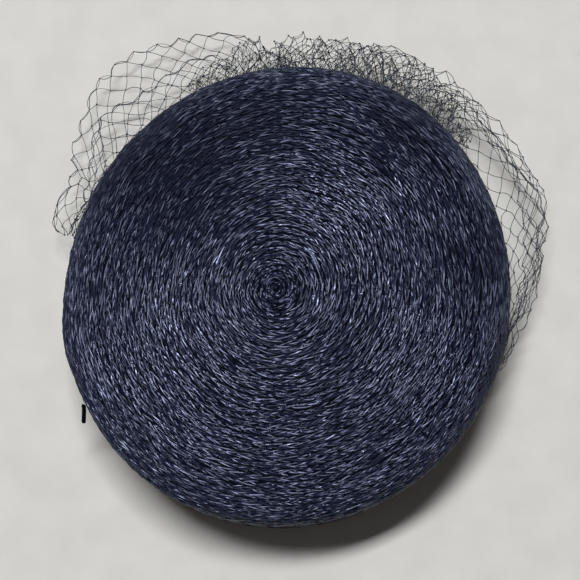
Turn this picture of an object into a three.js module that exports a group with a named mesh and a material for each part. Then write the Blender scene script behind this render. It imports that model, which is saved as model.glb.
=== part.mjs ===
// A pillbox hat of wound straw with a coarse net veil, standing on its rim with the crown up.
// Millimetres. The origin is the middle of the head opening, in the plane that the rim rests on.
// +Y points to the front of the head and +Z up. Angles are in degrees, counter-clockwise from +X.
import * as THREE from "three";

// Plan of the hat at its widest level, just under the shoulder
const CROWN_LENGTH = 197;
const CROWN_WIDTH = 187;
const FRONT_ANGLE = 90;

// The hat was shaped by hand, so its plan strays a little from an even oval
const PLAN_WAVES = [
  { count: 3, share: 0.0052, peak: 104 },
  { count: 4, share: 0.0028, peak: 76 },
];

// The wall stands out a little on one side of the back
const BULGE_ANGLE = 213;
const BULGE_HEIGHT = 1.5;
const BULGE_SPREAD = 9;

// Levels of the shell
const HAT_HEIGHT = 72;
const CROWN_RISE = 3;
const SHOULDER_REACH = 13;
const SHOULDER_DROP = 15;
const RIM_INSET = 0.6;
const STRAW_WALL = 2.2;
const HEM_WALL = 3.2;
const HEM_HEIGHT = 9;

// The winding starts a little to one side of the middle of the crown
const WINDING_SHIFT = 5.5;
const WINDING_SHIFT_ANGLE = 216;

// The veil, a net sewn to the side wall
const VEIL_START_ANGLE = 2;
const VEIL_END_ANGLE = 183;
const VEIL_SEAM_HEIGHT = 40;
const VEIL_DROP = 26;
const VEIL_LIFT = 5;
const VEIL_REACH = 40;
const VEIL_RIPPLE = 1.8;
const VEIL_SCALLOP = 2.5;
const VEIL_WALL = 1;
const NET_BAR = 1.5;
const SEAM_CLEARANCE = 0.3;

// Sections of the veil from its gathered end to its open end. along is a share of its span, bulge and
// edge are shares of VEIL_REACH for the fold and for the free edge, drop is a share of VEIL_DROP.
const VEIL_SECTIONS = [
  { along: 0.0, bulge: 0.1, edge: 0.06, drop: 0.3 },
  { along: 0.08, bulge: 0.31, edge: 0.12, drop: 0.5 },
  { along: 0.16, bulge: 0.62, edge: 0.16, drop: 0.75 },
  { along: 0.25, bulge: 0.86, edge: 0.2, drop: 0.95 },
  { along: 0.4, bulge: 0.86, edge: 0.2, drop: 1.0 },
  { along: 0.55, bulge: 0.67, edge: 0.25, drop: 1.0 },
  { along: 0.64, bulge: 0.62, edge: 0.52, drop: 1.0 },
  { along: 0.7, bulge: 0.6, edge: 0.85, drop: 1.0 },
  { along: 0.78, bulge: 0.65, edge: 1.0, drop: 1.0 },
  { along: 0.84, bulge: 0.6, edge: 0.93, drop: 1.0 },
  { along: 0.89, bulge: 0.5, edge: 0.65, drop: 0.9 },
  { along: 0.94, bulge: 0.4, edge: 0.46, drop: 0.75 },
  { along: 0.975, bulge: 0.33, edge: 0.4, drop: 0.6 },
  { along: 1.0, bulge: 0.14, edge: 0.14, drop: 0.4 },
];

// The loose end of the straw braid
const TAIL_ANGLE = 228;
const TAIL_TOP = 46;
const TAIL_HEIGHT = 4;
const TAIL_THICKNESS = 1.8;
const TAIL_SEWN_LENGTH = 2;
const TAIL_FREE_LENGTH = 7;
const TAIL_SPLAY = 30;
const TAIL_CLEARANCE = 0.3;

// Steps of the faceted surfaces
const PLAN_STEPS = 96;
const CROWN_STEPS = 5;
const SHOULDER_STEPS = 6;
const WALL_STEPS = 4;
const NET_COLUMNS = 30;
const NET_ROWS = 4;
const RIPPLE_COLUMNS = 3;
const TAIL_STEPS = 2;
const TIP_STEPS = 8;

// A bar of the net takes at most this share of its cell, where the gathers pinch the cells
const WIDEST_BAR_SHARE = 0.3;

// Half the share of the veil's span and width over which its slope is taken
const SLOPE_SHARE = 0.004;

const SHOULDER_START = HAT_HEIGHT - CROWN_RISE;
const WIDEST_LEVEL = SHOULDER_START - SHOULDER_DROP;

function radians(degrees) {
  return THREE.MathUtils.degToRad(degrees);
}

function direction(degrees) {
  return new THREE.Vector2(Math.cos(radians(degrees)), Math.sin(radians(degrees)));
}

// Distance from the hat's axis to the plan outline at the widest level
function outline(degrees) {
  const mean = (CROWN_LENGTH + CROWN_WIDTH) / 4;
  const oval = (CROWN_LENGTH - CROWN_WIDTH) / (CROWN_LENGTH + CROWN_WIDTH);
  let share = 1 + oval * Math.cos(2 * radians(degrees - FRONT_ANGLE));
  for (const wave of PLAN_WAVES) {
    share += wave.share * Math.cos(wave.count * radians(degrees - wave.peak));
  }
  const aside = 2 * THREE.MathUtils.radToDeg(Math.asin(Math.sin(radians(degrees - BULGE_ANGLE) / 2)));
  return mean * share + BULGE_HEIGHT * Math.exp(-((aside / BULGE_SPREAD) ** 2));
}

// How far the outer face of the side wall lies inside the widest outline at a height
function wallInset(height) {
  return RIM_INSET * (1 - height / WIDEST_LEVEL);
}

// Rings of the shell run from the middle of the top over the shoulder, down the outside, under the
// rim and back up the inside. share is how much of the crown's radius a ring takes.
function shellRings() {
  const rings = [];
  const crownLevel = (share) => SHOULDER_START + CROWN_RISE * (1 - share * share);
  for (let i = 0; i <= CROWN_STEPS; i++) {
    const share = i / CROWN_STEPS;
    rings.push({ share, inset: SHOULDER_REACH, height: crownLevel(share) });
  }
  for (let i = 1; i <= SHOULDER_STEPS; i++) {
    const turn = (i / SHOULDER_STEPS) * (Math.PI / 2);
    rings.push({
      share: 1,
      inset: SHOULDER_REACH * (1 - Math.sin(turn)),
      height: WIDEST_LEVEL + SHOULDER_DROP * Math.cos(turn),
    });
  }
  for (let i = 1; i <= WALL_STEPS; i++) {
    const height = WIDEST_LEVEL * (1 - i / WALL_STEPS);
    rings.push({ share: 1, inset: wallInset(height), height });
  }
  rings.push({ share: 1, inset: wallInset(0) + HEM_WALL, height: 0 });
  rings.push({ share: 1, inset: wallInset(HEM_HEIGHT) + HEM_WALL, height: HEM_HEIGHT });
  rings.push({ share: 1, inset: wallInset(HEM_HEIGHT) + STRAW_WALL, height: HEM_HEIGHT });
  for (let i = 1; i < WALL_STEPS; i++) {
    const height = HEM_HEIGHT + ((WIDEST_LEVEL - HEM_HEIGHT) * i) / WALL_STEPS;
    rings.push({ share: 1, inset: wallInset(height) + STRAW_WALL, height });
  }
  for (let i = 0; i < SHOULDER_STEPS; i++) {
    const turn = (1 - i / SHOULDER_STEPS) * (Math.PI / 2);
    rings.push({
      share: 1,
      inset: SHOULDER_REACH - (SHOULDER_REACH - STRAW_WALL) * Math.sin(turn),
      height: WIDEST_LEVEL + (SHOULDER_DROP - STRAW_WALL) * Math.cos(turn),
    });
  }
  for (let i = CROWN_STEPS; i >= 0; i--) {
    const share = i / CROWN_STEPS;
    rings.push({ share, inset: SHOULDER_REACH, height: crownLevel(share) - STRAW_WALL });
  }
  return rings;
}

function shellPoint(ring, degrees) {
  const radius = ring.share * (outline(degrees) - ring.inset);
  const middle = direction(WINDING_SHIFT_ANGLE).multiplyScalar(WINDING_SHIFT * (1 - ring.share));
  const point = direction(degrees).multiplyScalar(radius).add(middle);
  return new THREE.Vector3(point.x, point.y, ring.height);
}

function geometryFrom(points, faces) {
  const geometry = new THREE.BufferGeometry().setFromPoints(points);
  geometry.setIndex(faces);
  geometry.computeVertexNormals();
  return geometry;
}

// One closed shell: the first and the last ring are single points on the winding's middle
function strawBodyGeometry() {
  const rings = shellRings();
  const last = rings.length - 1;
  const points = [shellPoint(rings[0], 0)];
  for (let row = 1; row < last; row++) {
    for (let step = 0; step < PLAN_STEPS; step++) {
      points.push(shellPoint(rings[row], (360 * step) / PLAN_STEPS));
    }
  }
  points.push(shellPoint(rings[last], 0));
  const place = (row, step) => 1 + (row - 1) * PLAN_STEPS + (step % PLAN_STEPS);
  const faces = [];
  for (let step = 0; step < PLAN_STEPS; step++) {
    faces.push(0, place(1, step), place(1, step + 1));
    for (let row = 1; row < last - 1; row++) {
      faces.push(place(row, step), place(row + 1, step), place(row + 1, step + 1));
      faces.push(place(row, step), place(row + 1, step + 1), place(row, step + 1));
    }
    faces.push(points.length - 1, place(last - 1, step + 1), place(last - 1, step));
  }
  return geometryFrom(points, faces);
}

// The row of VEIL_SECTIONS at a share of the span, eased between its neighbours
function veilSection(along) {
  const next = Math.max(1, VEIL_SECTIONS.findIndex((section) => section.along >= along));
  const before = VEIL_SECTIONS[next - 1];
  const after = VEIL_SECTIONS[next];
  const share = THREE.MathUtils.smoothstep(along, before.along, after.along);
  return {
    bulge: THREE.MathUtils.lerp(before.bulge, after.bulge, share),
    edge: THREE.MathUtils.lerp(before.edge, after.edge, share),
    drop: THREE.MathUtils.lerp(before.drop, after.drop, share),
  };
}

// Middle of the net's thickness at shares of its span and of its width, from the seam to the edge
function veilPoint(along, across) {
  const section = veilSection(along);
  const degrees = THREE.MathUtils.lerp(VEIL_START_ANGLE, VEIL_END_ANGLE, along);
  const seam = SEAM_CLEARANCE + VEIL_WALL / 2;
  const low = VEIL_SEAM_HEIGHT - VEIL_DROP * section.drop;
  const fold = seam + VEIL_REACH * section.bulge;
  const curve = new THREE.CubicBezierCurve(
    new THREE.Vector2(seam, VEIL_SEAM_HEIGHT),
    new THREE.Vector2(fold, VEIL_SEAM_HEIGHT + VEIL_LIFT * section.drop),
    new THREE.Vector2(fold, low),
    new THREE.Vector2(seam + VEIL_REACH * section.edge, low),
  );
  const point = curve.getPoint(across);
  const wave = Math.cos((2 * Math.PI * along * NET_COLUMNS) / RIPPLE_COLUMNS);
  const ripple = VEIL_RIPPLE * section.drop * wave * across;
  const out = Math.max(seam, point.x + ripple);
  const radius = outline(degrees) - wallInset(point.y) + out;
  const plan = direction(degrees).multiplyScalar(radius);
  return new THREE.Vector3(plan.x, plan.y, point.y);
}

function veilNormal(along, across) {
  const alongMost = Math.min(1, along + SLOPE_SHARE);
  const alongLeast = Math.max(0, along - SLOPE_SHARE);
  const acrossMost = Math.min(1, across + SLOPE_SHARE);
  const acrossLeast = Math.max(0, across - SLOPE_SHARE);
  const span = veilPoint(alongMost, across).sub(veilPoint(alongLeast, across));
  const width = veilPoint(along, acrossMost).sub(veilPoint(along, acrossLeast));
  return span.cross(width).normalize();
}

// A knot of the net, with the free edge drawn out at every other knot
function netKnot(column, row) {
  const along = column / NET_COLUMNS;
  const across = row / NET_ROWS;
  const point = veilPoint(along, across);
  if (row === NET_ROWS && column % 2 === 1) {
    const inner = veilPoint(along, (row - 1) / NET_ROWS);
    const pull = VEIL_SCALLOP * veilSection(along).drop;
    point.add(point.clone().sub(inner).setLength(pull));
  }
  return { point, normal: veilNormal(along, across) };
}

function mixKnots(a, b, share) {
  return {
    point: a.point.clone().lerp(b.point, share),
    normal: a.normal.clone().lerp(b.normal, share),
  };
}

// Shares of a cell's side where its gap starts and ends, with a whole bar on an outer side
function gapShares(length, outerBefore, outerAfter) {
  const before = (outerBefore ? NET_BAR : NET_BAR / 2) / length;
  const after = (outerAfter ? NET_BAR : NET_BAR / 2) / length;
  return [Math.min(WIDEST_BAR_SHARE, before), 1 - Math.min(WIDEST_BAR_SHARE, after)];
}

// The net is a grid of cells, each cut through by one gap. Upper and lower skins share one layout.
function veilGeometry() {
  const points = [];
  const faces = [];
  const addKnot = (knot) => {
    const offset = knot.normal.clone().setLength(VEIL_WALL / 2);
    points.push(knot.point.clone().add(offset), knot.point.clone().sub(offset));
    return points.length - 2;
  };
  const knots = [];
  const places = [];
  for (let column = 0; column <= NET_COLUMNS; column++) {
    knots.push([]);
    places.push([]);
    for (let row = 0; row <= NET_ROWS; row++) {
      knots[column].push(netKnot(column, row));
      places[column].push(addKnot(knots[column][row]));
    }
  }
  const addQuad = (a, b, c, d) => {
    faces.push(a, b, c, a, c, d);
  };
  for (let column = 0; column < NET_COLUMNS; column++) {
    for (let row = 0; row < NET_ROWS; row++) {
      const corners = [
        knots[column][row],
        knots[column + 1][row],
        knots[column + 1][row + 1],
        knots[column][row + 1],
      ];
      const width = corners[0].point.distanceTo(corners[1].point);
      const depth = corners[0].point.distanceTo(corners[3].point);
      const across = gapShares(width, column === 0, column === NET_COLUMNS - 1);
      const down = gapShares(depth, row === 0, row === NET_ROWS - 1);
      const outer = [
        places[column][row],
        places[column + 1][row],
        places[column + 1][row + 1],
        places[column][row + 1],
      ];
      const inner = [
        [across[0], down[0]],
        [across[1], down[0]],
        [across[1], down[1]],
        [across[0], down[1]],
      ].map(([sideways, downwards]) => {
        const upper = mixKnots(corners[0], corners[1], sideways);
        const lower = mixKnots(corners[3], corners[2], sideways);
        return addKnot(mixKnots(upper, lower, downwards));
      });
      for (let side = 0; side < 4; side++) {
        const next = (side + 1) % 4;
        addQuad(outer[side], outer[next], inner[next], inner[side]);
        addQuad(outer[next] + 1, outer[side] + 1, inner[side] + 1, inner[next] + 1);
        addQuad(inner[side], inner[next], inner[next] + 1, inner[side] + 1);
      }
    }
  }
  const addRim = (a, b) => addQuad(b, a, a + 1, b + 1);
  for (let column = 0; column < NET_COLUMNS; column++) {
    addRim(places[column][0], places[column + 1][0]);
    addRim(places[column + 1][NET_ROWS], places[column][NET_ROWS]);
  }
  for (let row = 0; row < NET_ROWS; row++) {
    addRim(places[0][row + 1], places[0][row]);
    addRim(places[NET_COLUMNS][row], places[NET_COLUMNS][row + 1]);
  }
  return geometryFrom(points, faces);
}

// Plan of the loose braid end: it follows the wall where it is sewn, then leaves it straight
function tailGeometry() {
  const level = TAIL_TOP - TAIL_HEIGHT / 2;
  const wallAt = (degrees, out) =>
    direction(degrees).multiplyScalar(outline(degrees) - wallInset(level) + out);
  const sewnTurn = THREE.MathUtils.radToDeg(TAIL_SEWN_LENGTH / outline(TAIL_ANGLE));
  const near = [];
  const far = [];
  for (let i = 0; i <= TAIL_STEPS; i++) {
    const degrees = TAIL_ANGLE + (sewnTurn * i) / TAIL_STEPS;
    near.push(wallAt(degrees, TAIL_CLEARANCE));
    far.push(wallAt(degrees, TAIL_CLEARANCE + TAIL_THICKNESS));
  }
  const ahead = direction(TAIL_ANGLE + sewnTurn + 90 - TAIL_SPLAY);
  const aside = direction(TAIL_ANGLE + sewnTurn - TAIL_SPLAY);
  const middle = near[TAIL_STEPS].clone().add(far[TAIL_STEPS]).multiplyScalar(0.5);
  const tip = middle.add(ahead.clone().multiplyScalar(TAIL_FREE_LENGTH - TAIL_THICKNESS / 2));
  const round = [];
  for (let i = 0; i <= TIP_STEPS; i++) {
    const turn = (Math.PI * i) / TIP_STEPS;
    const sideways = aside.clone().multiplyScalar((Math.cos(turn) * TAIL_THICKNESS) / 2);
    const forwards = ahead.clone().multiplyScalar((Math.sin(turn) * TAIL_THICKNESS) / 2);
    round.push(tip.clone().add(sideways).add(forwards));
  }
  const plan = [...far, ...round, ...near.reverse()];
  const shape = new THREE.Shape(plan);
  return new THREE.ExtrudeGeometry(shape, { depth: TAIL_HEIGHT, bevelEnabled: false });
}

const straw = new THREE.MeshStandardMaterial({ color: 0x2b3045, roughness: 0.45, metalness: 0 });
const netThread = new THREE.MeshStandardMaterial({ color: 0x1d2430, roughness: 0.7, metalness: 0 });
const strawEnd = new THREE.MeshStandardMaterial({ color: 0x141824, roughness: 0.5, metalness: 0 });

function namedMesh(name, geometry, material) {
  const mesh = new THREE.Mesh(geometry, material);
  mesh.name = name;
  return mesh;
}

const hat = new THREE.Group();
hat.add(namedMesh("straw_body", strawBodyGeometry(), straw));
hat.add(namedMesh("veil", veilGeometry(), netThread));
const tail = namedMesh("straw_tail", tailGeometry(), strawEnd);
tail.position.z = TAIL_TOP - TAIL_HEIGHT;
hat.add(tail);

export default hat;
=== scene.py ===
"""A pillbox hat of wound navy straw with a coarse net veil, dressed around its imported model."""

import logging
import math
from dataclasses import dataclass, field
from enum import Enum

import bpy
import numpy as np
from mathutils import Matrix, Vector


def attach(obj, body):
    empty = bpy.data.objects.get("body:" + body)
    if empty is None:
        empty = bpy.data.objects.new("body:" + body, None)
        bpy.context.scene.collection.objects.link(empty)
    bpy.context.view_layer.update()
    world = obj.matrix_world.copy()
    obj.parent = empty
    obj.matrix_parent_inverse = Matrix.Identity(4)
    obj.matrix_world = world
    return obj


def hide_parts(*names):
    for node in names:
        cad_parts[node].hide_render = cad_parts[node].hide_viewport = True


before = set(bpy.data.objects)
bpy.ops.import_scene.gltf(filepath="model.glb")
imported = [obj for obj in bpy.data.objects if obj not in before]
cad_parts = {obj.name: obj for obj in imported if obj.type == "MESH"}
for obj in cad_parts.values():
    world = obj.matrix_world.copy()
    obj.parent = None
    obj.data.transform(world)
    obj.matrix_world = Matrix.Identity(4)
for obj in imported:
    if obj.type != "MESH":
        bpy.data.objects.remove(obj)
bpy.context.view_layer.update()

log = logging.getLogger("pillbox_hat")

MILLIMETRE = 0.001
FULL_TURN = 2 * math.pi
LEAST_LENGTH = 1e-6
UPWARD = np.array([0.0, 0.0, 1.0])
SIDEWAYS = np.array([1.0, 0.0, 0.0])
STRAND_DATA = "strand"
RIPPLE_WAVES = 14
RIPPLE_SPREAD = (0.6, 1.7)


class Slot(Enum):
    """Material slots of the record that the pieces take their finish from."""

    STRAW = "straw"
    NET = "net"


class Zone(Enum):
    """Parts of the shell that the winding crosses."""

    CROWN = "crown"
    SHOULDER = "shoulder"
    WALL = "wall"


class Band(Enum):
    """Stretches of the winding, each one piece: name, first and last share of its zone, and zone."""

    CROWN_CENTRE = ("crown_centre", 0.0, 0.12, Zone.CROWN)
    CROWN_HEART = ("crown_heart", 0.12, 0.7, Zone.CROWN)
    CROWN_FIELD = ("crown_field", 0.7, 1.0, Zone.CROWN)
    SHOULDER = ("shoulder_rounds", 0.0, 1.0, Zone.SHOULDER)
    WALL_UPPER = ("wall_upper_rounds", 0.0, 0.5, Zone.WALL)
    WALL_LOWER = ("wall_lower_rounds", 0.5, 1.0, Zone.WALL)


def unit(vectors: np.ndarray) -> np.ndarray:
    """Vectors scaled to length one.

    Args:
        vectors: rows of three numbers.

    Returns:
        Rows of the same directions.
    """
    lengths = np.linalg.norm(vectors, axis=-1, keepdims=True)
    return vectors / np.maximum(lengths, LEAST_LENGTH)


def eased(share: np.ndarray) -> np.ndarray:
    """Shares from 0 to 1 that start and end gently."""
    return share * share * (3 - 2 * share)


def distance_along(path: np.ndarray) -> np.ndarray:
    """Distance of each point of a path from the first one, measured along the path."""
    return np.concatenate([[0.0], np.cumsum(np.linalg.norm(np.diff(path, axis=0), axis=1))])


def wander(distance: np.ndarray, length: float, seed: int) -> np.ndarray:
    """Smooth noise along a line.

    Args:
        distance: places along the line, none below zero.
        length: distance over which the noise changes.
        seed: seed of the noise.

    Returns:
        Values between about -1 and 1.
    """
    place = distance / length
    before = np.floor(place).astype(int)
    share = eased(place - before)
    knots = np.random.default_rng(seed).uniform(-1.0, 1.0, int(before.max()) + 2)
    return knots[before] * (1 - share) + knots[before + 1] * share


@dataclass(frozen=True)
class Unevenness:
    """How much something varies along a strand, and the length in millimetres over which it changes."""

    amount: float
    length: float

    def at(self, along: np.ndarray, seed: int, grain: float = 1.0) -> np.ndarray:
        """The variation along a strand.

        Args:
            along: distances along the strand.
            seed: seed of the noise.
            grain: factor on the length.

        Returns:
            Values between about -amount and amount.
        """
        return self.amount * wander(along, self.length * grain, seed)


def ripple(points: np.ndarray, length: float, seed: int) -> np.ndarray:
    """Smooth noise over space, made of plane waves.

    Args:
        points: rows of places.
        length: typical wave length.
        seed: seed of the waves.

    Returns:
        Values between about -1 and 1.
    """
    rng = np.random.default_rng(seed)
    directions = unit(rng.normal(size=(RIPPLE_WAVES, points.shape[-1])))
    pace = FULL_TURN / (length * rng.uniform(*RIPPLE_SPREAD, RIPPLE_WAVES))
    start = rng.uniform(0, FULL_TURN, RIPPLE_WAVES)
    return np.sin(points @ (directions * pace[:, None]).T + start).sum(axis=-1) / math.sqrt(RIPPLE_WAVES)


def new_object(name: str, data: bpy.types.ID) -> bpy.types.Object:
    """Makes an object and puts it in the scene.

    Args:
        name: the object's name.
        data: its mesh, camera or light data.

    Returns:
        The object.
    """
    made = bpy.data.objects.new(name, data)
    bpy.context.scene.collection.objects.link(made)
    return made


def direction(azimuth: float, elevation: float) -> Vector:
    """Direction from the hat to a place round it.

    Args:
        azimuth: angle round the hat in degrees, from the side that faces -Y.
        elevation: angle above the floor in degrees.

    Returns:
        The direction, of length one.
    """
    a = math.radians(azimuth)
    e = math.radians(elevation)
    return Vector((math.sin(a) * math.cos(e), -math.cos(a) * math.cos(e), math.sin(e)))


@dataclass
class MeshParts:
    """Vertices, faces and strand data that are gathered before they become one mesh."""

    points: list[np.ndarray] = field(default_factory=list)
    quads: list[np.ndarray] = field(default_factory=list)
    triangles: list[np.ndarray] = field(default_factory=list)
    strands: list[np.ndarray] = field(default_factory=list)
    count: int = 0

    def add(
        self,
        points: np.ndarray,
        quads: np.ndarray,
        triangles: np.ndarray,
        strand: np.ndarray | None = None,
    ) -> None:
        """Adds one solid.

        Args:
            points: its vertices in millimetres, as rows of three numbers.
            quads: its four-sided faces, as rows of its own vertex numbers.
            triangles: its three-sided faces, the same way.
            strand: distance along, distance around and tone of each vertex, or nothing for a plain solid.
        """
        self.points.append(points)
        self.quads.append(quads.reshape(-1, 4) + self.count)
        self.triangles.append(triangles.reshape(-1, 3) + self.count)
        self.strands.append(np.zeros((len(points), 3)) if strand is None else strand)
        self.count += len(points)

    def piece(self, name: str, ridge: int = 0) -> bpy.types.Object:
        """Makes the gathered solids one smooth-shaded object.

        Args:
            name: the object's name.
            ridge: how many sides its strands have where these are creased along their length.

        Returns:
            The object, in metres.
        """
        points = np.concatenate(self.points) * MILLIMETRE
        quads = np.concatenate(self.quads)
        triangles = np.concatenate(self.triangles)
        corners = np.concatenate([quads.ravel(), triangles.ravel()]).astype(np.int32)
        sizes = np.concatenate([np.full(len(quads), 4), np.full(len(triangles), 3)]).astype(np.int32)
        starts = np.concatenate([[0], np.cumsum(sizes)[:-1]]).astype(np.int32)
        mesh = bpy.data.meshes.new(name)
        mesh.vertices.add(len(points))
        mesh.vertices.foreach_set("co", points.astype(np.float32).ravel())
        mesh.loops.add(len(corners))
        mesh.loops.foreach_set("vertex_index", corners)
        mesh.polygons.add(len(sizes))
        mesh.polygons.foreach_set("loop_start", starts)
        mesh.polygons.foreach_set("loop_total", sizes)
        mesh.polygons.foreach_set("use_smooth", np.ones(len(sizes), bool))
        mesh.update(calc_edges=True)
        mesh.validate()
        if ridge:
            ends = np.empty(len(mesh.edges) * 2, np.int32)
            mesh.edges.foreach_get("vertices", ends)
            creased = np.abs(ends[0::2] - ends[1::2]) == ridge
            sharp = mesh.attributes.new("sharp_edge", "BOOLEAN", "EDGE")
            sharp.data.foreach_set("value", creased)
        data = mesh.attributes.new(STRAND_DATA, "FLOAT_VECTOR", "POINT")
        data.data.foreach_set("vector", np.concatenate(self.strands).astype(np.float32).ravel())
        return new_object(name, mesh)


def tube(
    parts: MeshParts,
    path: np.ndarray,
    side: np.ndarray,
    up: np.ndarray,
    half_width: np.ndarray,
    half_height: np.ndarray,
    sides: int,
    tone: np.ndarray,
) -> None:
    """Adds a closed tube of oval section.

    Args:
        parts: where the tube goes.
        path: its middle line in millimetres.
        side: direction of the section's width at each point.
        up: direction of the section's height at each point.
        half_width: half the section's width at each point.
        half_height: half the section's height at each point.
        sides: how many sides the section has.
        tone: shade of the strand at each point, from 0 to 1.
    """
    turn = np.arange(sides) * FULL_TURN / sides + math.pi / 2
    across = np.cos(turn)[None, :, None] * (side * half_width[:, None])[:, None, :]
    upward = np.sin(turn)[None, :, None] * (up * half_height[:, None])[:, None, :]
    rings = path[:, None, :] + across + upward
    count = len(path)
    row = np.arange(count - 1)[:, None] * sides
    step = np.arange(sides)[None, :]
    after = (step + 1) % sides
    quads = np.stack([row + step, row + after, row + sides + after, row + sides + step], axis=-1)
    fan = np.array([[0, k + 1, k] for k in range(1, sides - 1)])
    end = (count - 1) * sides
    caps = np.concatenate([fan, fan[:, ::-1] + end])
    strand = np.empty((count, sides, 3))
    strand[:, :, 0] = distance_along(path)[:, None] * MILLIMETRE
    strand[:, :, 1] = turn[None, :] * half_width[:, None] * MILLIMETRE
    strand[:, :, 2] = tone[:, None]
    parts.add(rings.reshape(-1, 3), quads, caps, strand.reshape(-1, 3))


@dataclass(frozen=True)
class HatForm:
    """Form of the shell: an oval plan, a low dome, a round shoulder and an upright wall. Millimetres."""

    crown_length: float = 197.0
    crown_width: float = 187.0
    front_angle: float = 90.0
    plan_waves: tuple[tuple[int, float, float], ...] = ((3, 0.0052, 104.0), (4, 0.0028, 76.0))
    height: float = 72.0
    crown_rise: float = 3.0
    shoulder_reach: float = 13.0
    shoulder_drop: float = 15.0
    rim_inset: float = 0.6
    winding_shift: float = 5.5
    winding_shift_angle: float = 216.0
    bulge_angle: float = 213.0
    bulge_height: float = 1.5
    bulge_spread: float = 9.0

    @property
    def mean_radius(self) -> float:
        """Mean distance from the axis to the outline."""
        return (self.crown_length + self.crown_width) / 4

    @property
    def shoulder_start(self) -> float:
        """Height where the dome ends and the shoulder starts."""
        return self.height - self.crown_rise

    @property
    def widest_level(self) -> float:
        """Height where the shoulder ends and the wall starts."""
        return self.shoulder_start - self.shoulder_drop

    @property
    def crown_run(self) -> float:
        """Distance from the middle of the crown to its shoulder."""
        return self.mean_radius - self.shoulder_reach

    @property
    def shoulder_run(self) -> float:
        """Length of the shoulder's quarter ellipse."""
        mean_square = (self.shoulder_reach**2 + self.shoulder_drop**2) / 2
        return math.pi / 2 * math.sqrt(mean_square)

    @property
    def wall_run(self) -> float:
        """Length of the wall from the shoulder to the rim."""
        return self.widest_level

    @property
    def full_run(self) -> float:
        """Distance from the middle of the crown over the shoulder to the rim."""
        return self.crown_run + self.shoulder_run + self.wall_run

    def outline(self, turn: np.ndarray) -> np.ndarray:
        """Distance from the axis to the plan outline.

        Args:
            turn: angles round the axis, in radians.

        Returns:
            The distances.
        """
        oval = (self.crown_length - self.crown_width) / (self.crown_length + self.crown_width)
        share = 1 + oval * np.cos(2 * (turn - math.radians(self.front_angle)))
        for count, amount, peak in self.plan_waves:
            share = share + amount * np.cos(count * (turn - math.radians(peak)))
        aside = np.degrees(2 * np.arcsin(np.sin((turn - math.radians(self.bulge_angle)) / 2)))
        return self.mean_radius * share + self.bulge_height * np.exp(-((aside / self.bulge_spread) ** 2))

    def wall_inset(self, level: np.ndarray) -> np.ndarray:
        """How far the wall lies inside the widest outline at a height."""
        return self.rim_inset * (1 - level / self.widest_level)

    def surface(self, run: np.ndarray, turn: np.ndarray) -> tuple[np.ndarray, np.ndarray]:
        """Places and outward directions on the outer face.

        Args:
            run: distance from the middle of the crown, over the shoulder and down the wall.
            turn: angles round the axis, in radians.

        Returns:
            Places and outward directions.
        """
        share = np.clip(run / self.crown_run, 0.0, 1.0)
        bend = np.clip((run - self.crown_run) / self.shoulder_run, 0.0, 1.0) * math.pi / 2
        down = np.clip(run - self.crown_run - self.shoulder_run, 0.0, self.wall_run)
        outline = self.outline(turn)
        on_crown = run < self.crown_run
        on_wall = down > 0
        level = self.widest_level + self.shoulder_drop * np.cos(bend)
        level = np.where(on_crown, self.shoulder_start + self.crown_rise * (1 - share**2), level)
        level = np.where(on_wall, self.widest_level - down, level)
        inset = self.shoulder_reach * (1 - np.sin(bend))
        inset = np.where(on_wall, self.wall_inset(level), inset)
        radius = share * (outline - inset)
        shift = self.winding_shift * (1 - share)
        shift_turn = math.radians(self.winding_shift_angle)
        places = np.stack(
            [
                radius * np.cos(turn) + shift * math.cos(shift_turn),
                radius * np.sin(turn) + shift * math.sin(shift_turn),
                level,
            ],
            axis=-1,
        )
        lean_out = np.where(
            on_crown,
            2 * self.crown_rise * share / self.crown_run,
            np.sin(bend) / self.shoulder_reach,
        )
        lean_up = np.where(on_crown, 1.0, np.cos(bend) / self.shoulder_drop)
        outward = np.stack([lean_out * np.cos(turn), lean_out * np.sin(turn), lean_up], axis=-1)
        return places, unit(outward)


def new_group(
    name: str,
    inputs: dict[str, tuple[str, float]],
    outputs: dict[str, str],
) -> bpy.types.NodeTree:
    """Makes an empty shader node group with named sockets.

    Args:
        name: the group's name.
        inputs: socket kind and default value for each input name; a vector has no default.
        outputs: socket kind for each output name.

    Returns:
        The group, with its two interface nodes.
    """
    group = bpy.data.node_groups.new(name, "ShaderNodeTree")
    for label, (kind, value) in inputs.items():
        made = group.interface.new_socket(name=label, in_out="INPUT", socket_type=kind)
        if kind == "NodeSocketFloat":
            made.default_value = value
    for label, kind in outputs.items():
        group.interface.new_socket(name=label, in_out="OUTPUT", socket_type=kind)
    group.nodes.new("NodeGroupInput")
    group.nodes.new("NodeGroupOutput")
    return group


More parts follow.
